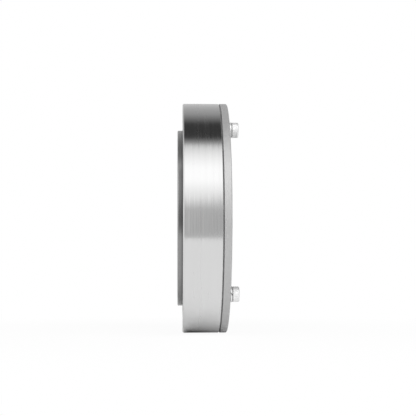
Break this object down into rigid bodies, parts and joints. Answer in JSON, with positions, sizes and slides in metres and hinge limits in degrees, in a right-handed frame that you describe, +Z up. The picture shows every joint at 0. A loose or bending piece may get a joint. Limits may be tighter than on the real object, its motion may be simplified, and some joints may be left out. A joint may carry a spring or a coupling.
{
  "type": "strain wave gear",
  "caption": "Flat silk-hat strain wave gear unit: a keyed wave generator turns a flexible gear inside a rigid gear, and a crossed roller bearing carries the slow output ring.",
  "frame": {"origin": "on the turning axis, in the plane of the outer ring's front face, which is the plane of the case bolt circle", "axes": "X is the turning axis: the output spigot faces -X and the flexible gear's flange, with its screw heads, faces +X. Z is up through one case bolt hole"},
  "size_m": [0.0222, 0.09, 0.09],
  "materials": {
    "ground_steel": "ground bright bearing steel",
    "dark_steel": "dark oiled tempered steel",
    "peened_steel": "matte shot-peened alloy steel",
    "screw_steel": "bright nickel-plated steel",
    "race_steel": "honed race steel",
    "black_rubber": "moulded nitrile rubber",
    "cage_plastic": "glass-filled polyamide"
  },
  "bodies": {
    "case": {"outer_ring": "ground_steel", "roller_plug": "ground_steel", "plug_pin": "dark_steel", "flexspline": "peened_steel", "flange_o_ring": "black_rubber", "assembly_screws": "screw_steel", "spring_washers": "screw_steel", "front_seal": "black_rubber", "seal_case": "dark_steel", "seal_spring": "screw_steel"},
    "output": {"circular_spline": "dark_steel"},
    "roller_set": {"rollers_leaning_in": "race_steel", "rollers_leaning_out": "race_steel", "roller_spacers": "cage_plastic"},
    "wave_generator": {"wave_cam": "dark_steel", "bearing_inner_race": "race_steel", "bearing_balls": "race_steel", "ball_cage": "cage_plastic", "bearing_outer_race": "race_steel", "hub_set_screws": "dark_steel"}
  },
  "joints": [
    {"name": "input_spin", "type": "hinge", "parent": "case", "child": "wave_generator", "pos_m": [0, 0, 0], "axis": [1, 0, 0], "continuous": true, "deforming": ["flexspline"]},
    {"name": "output_spin", "type": "hinge", "parent": "case", "child": "output", "pos_m": [0, 0, 0], "axis": [1, 0, 0], "continuous": true},
    {"name": "roller_orbit", "type": "hinge", "parent": "case", "child": "roller_set", "pos_m": [0, 0, 0], "axis": [1, 0, 0], "continuous": true}
  ],
  "couplings": [
    {"joint": "output_spin", "follows": "input_spin", "ratio": 0.019608},
    {"joint": "roller_orbit", "follows": "input_spin", "ratio": 0.0095698}
  ]
}
